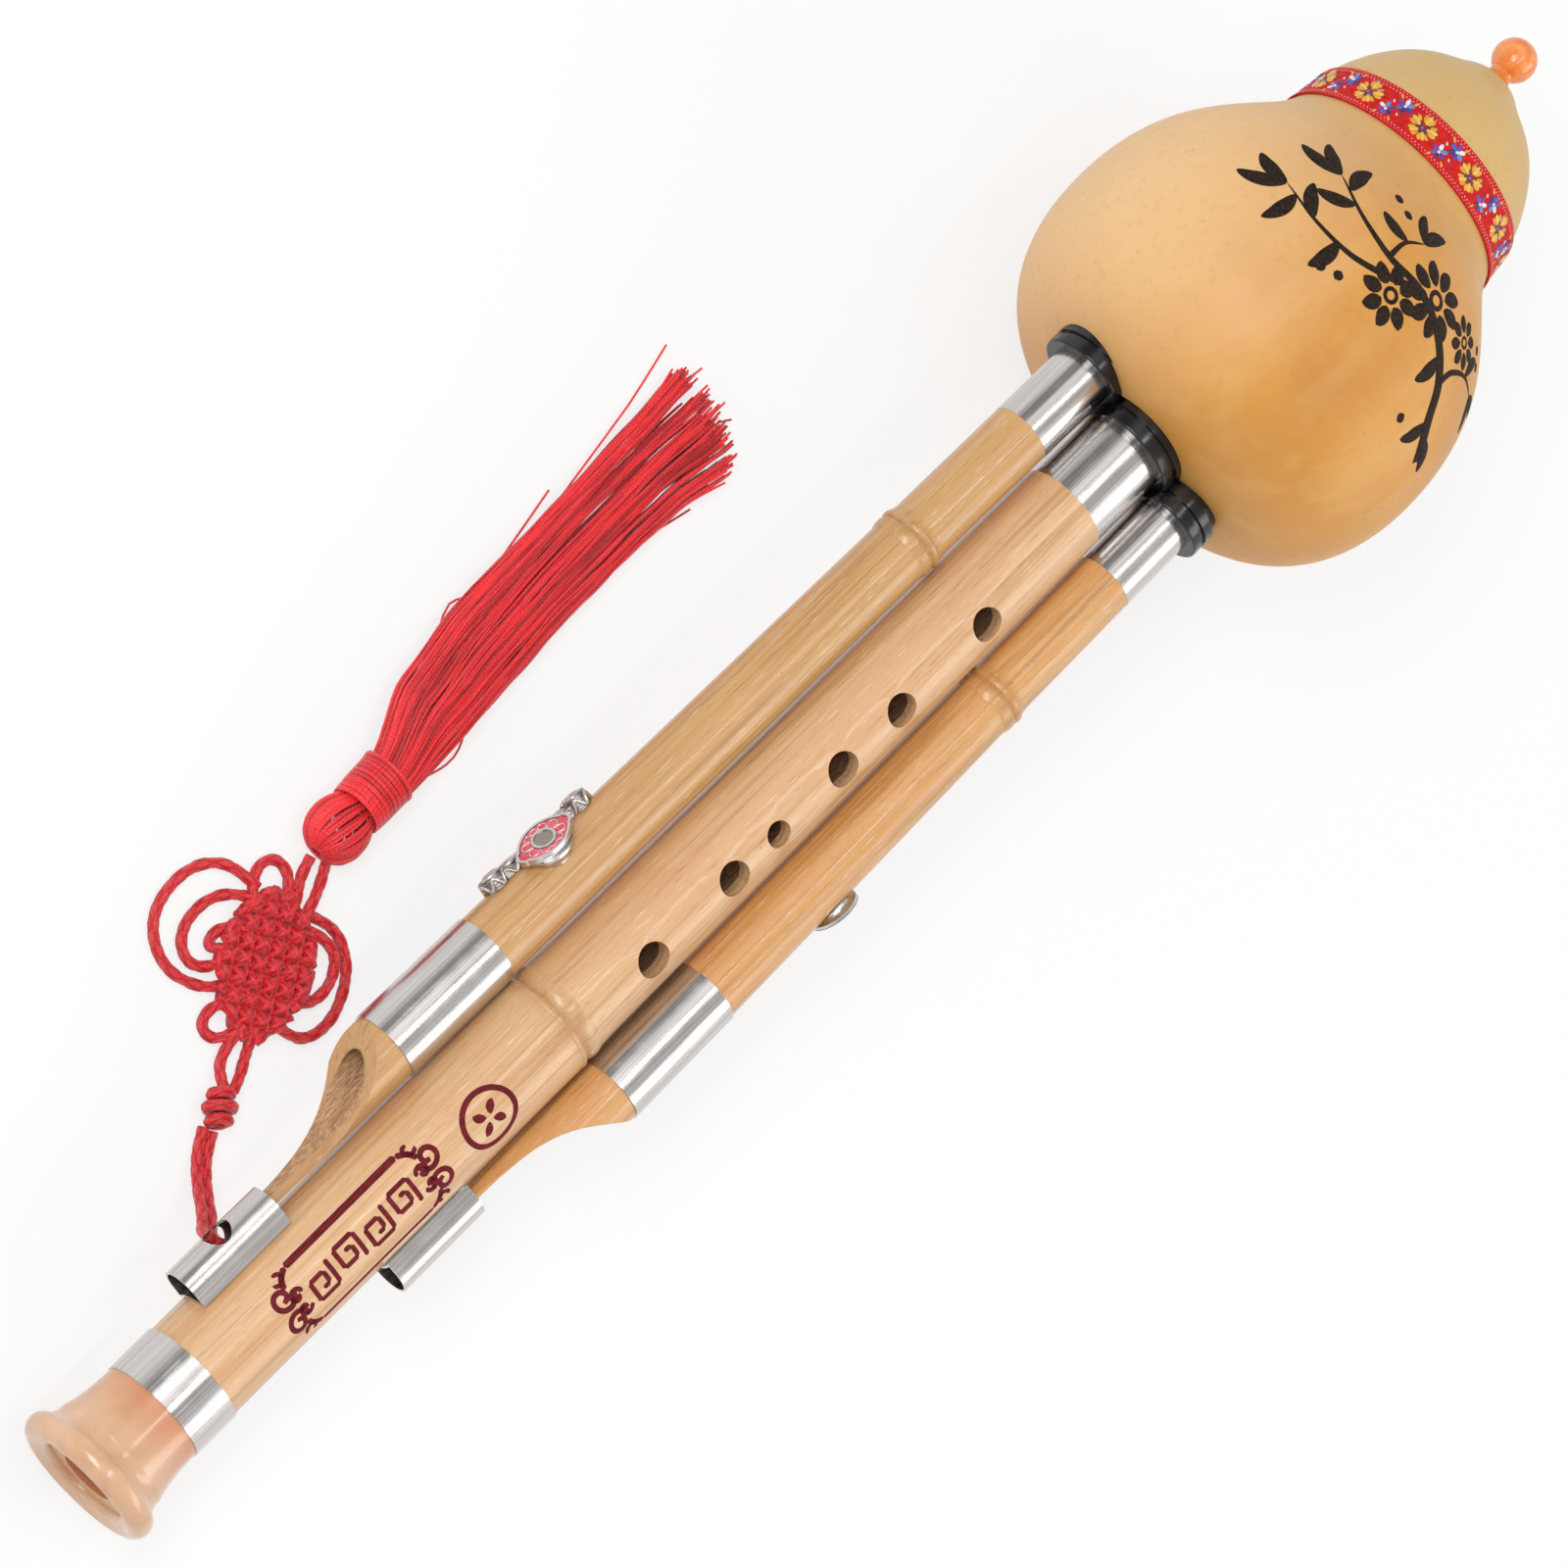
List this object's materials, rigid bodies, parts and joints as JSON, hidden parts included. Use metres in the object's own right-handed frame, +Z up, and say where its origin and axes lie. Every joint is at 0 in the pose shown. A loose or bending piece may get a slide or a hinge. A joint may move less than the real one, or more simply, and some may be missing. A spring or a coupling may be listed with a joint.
{
  "type": "gourd flute",
  "caption": "Gourd flute lying down: a melody pipe between two drone pipes in a dried gourd, with vent stoppers, a bell and a knotted red tassel.",
  "frame": {"origin": "middle of the lying flute's box on the floor, the cord and tassel left out", "axes": "+X from the bell towards the mouthpiece along the pipes, which rise with it; +Y towards the left drone; +Z up, with the finger holes on top"},
  "size_m": [0.4426, 0.1221, 0.0985],
  "materials": {
    "gourd": "lacquered dried gourd",
    "ribbon": "woven ribbon",
    "mouthpiece_resin": "gloss",
    "black_resin": "gloss",
    "bell_resin": "gloss",
    "polished_metal": "polished",
    "cast_metal": "cast and polished",
    "enamelled_metal": "enamel in a polished rim",
    "magnet": "plated",
    "pale_bamboo": "lacquered bamboo",
    "drone_bamboo": "lacquered bamboo",
    "cork": "matte",
    "reed_wood": "matte",
    "brass": "bare",
    "red_thread": "satin thread"
  },
  "bodies": {
    "gourd": {"gourd_shell": "gourd", "waist_ribbon": "ribbon", "mouthpiece": "mouthpiece_resin", "main_socket": "black_resin", "left_socket": "black_resin", "right_socket": "black_resin"},
    "main_pipe": {"main_pipe": "pale_bamboo", "main_top_ferrule": "polished_metal", "main_reed_bush": "cork", "main_reed_tube": "reed_wood", "main_reed": "brass", "bell_ring": "polished_metal", "bell": "bell_resin", "left_end_clip": "polished_metal", "right_end_clip": "polished_metal", "button_knot": "red_thread", "hanging_cord": "red_thread", "knot_body": "red_thread", "knot_leads": "red_thread", "left_ear_loops": "red_thread", "low_ear_loop": "red_thread", "right_ear_loops": "red_thread", "tassel_binding": "red_thread", "tassel_cord": "red_thread", "tassel_head": "red_thread", "tassel_skirt": "red_thread", "top_ear_loop": "red_thread"},
    "left_drone": {"left_drone_pipe": "drone_bamboo", "left_top_ferrule": "polished_metal", "left_low_ferrule": "polished_metal", "left_reed_tube": "reed_wood", "left_reed": "brass", "left_vent_seat": "polished_metal", "left_stopper_bar": "cast_metal"},
    "right_drone": {"right_drone_pipe": "drone_bamboo", "right_top_ferrule": "polished_metal", "right_low_ferrule": "polished_metal", "right_reed_tube": "reed_wood", "right_reed": "brass", "right_vent_seat": "polished_metal"},
    "left_stopper": {"left_stopper_plaque": "enamelled_metal", "left_stopper_magnet": "magnet"},
    "right_stopper": {"right_stopper_cap": "polished_metal", "right_stopper_magnet": "magnet"}
  },
  "joints": [
    {"name": "main_pipe_pull", "type": "slide", "parent": "gourd", "child": "main_pipe", "axis": [-0.9939, 0, -0.1103], "range_m": [0, 0.02]},
    {"name": "left_drone_pull", "type": "slide", "parent": "gourd", "child": "left_drone", "axis": [-0.9938, 0.0122, -0.1103], "range_m": [0, 0.007]},
    {"name": "right_drone_pull", "type": "slide", "parent": "gourd", "child": "right_drone", "axis": [-0.9938, -0.0122, -0.1103], "range_m": [0, 0.007]},
    {"name": "left_stopper_lift", "type": "slide", "parent": "left_drone", "child": "left_stopper", "axis": [-0.0291, 0.9303, 0.3655], "range_m": [0, 0.008]},
    {"name": "right_stopper_lift", "type": "slide", "parent": "right_drone", "child": "right_stopper", "axis": [0.0121, -0.9999, 0.0013], "range_m": [0, 0.008]}
  ]
}
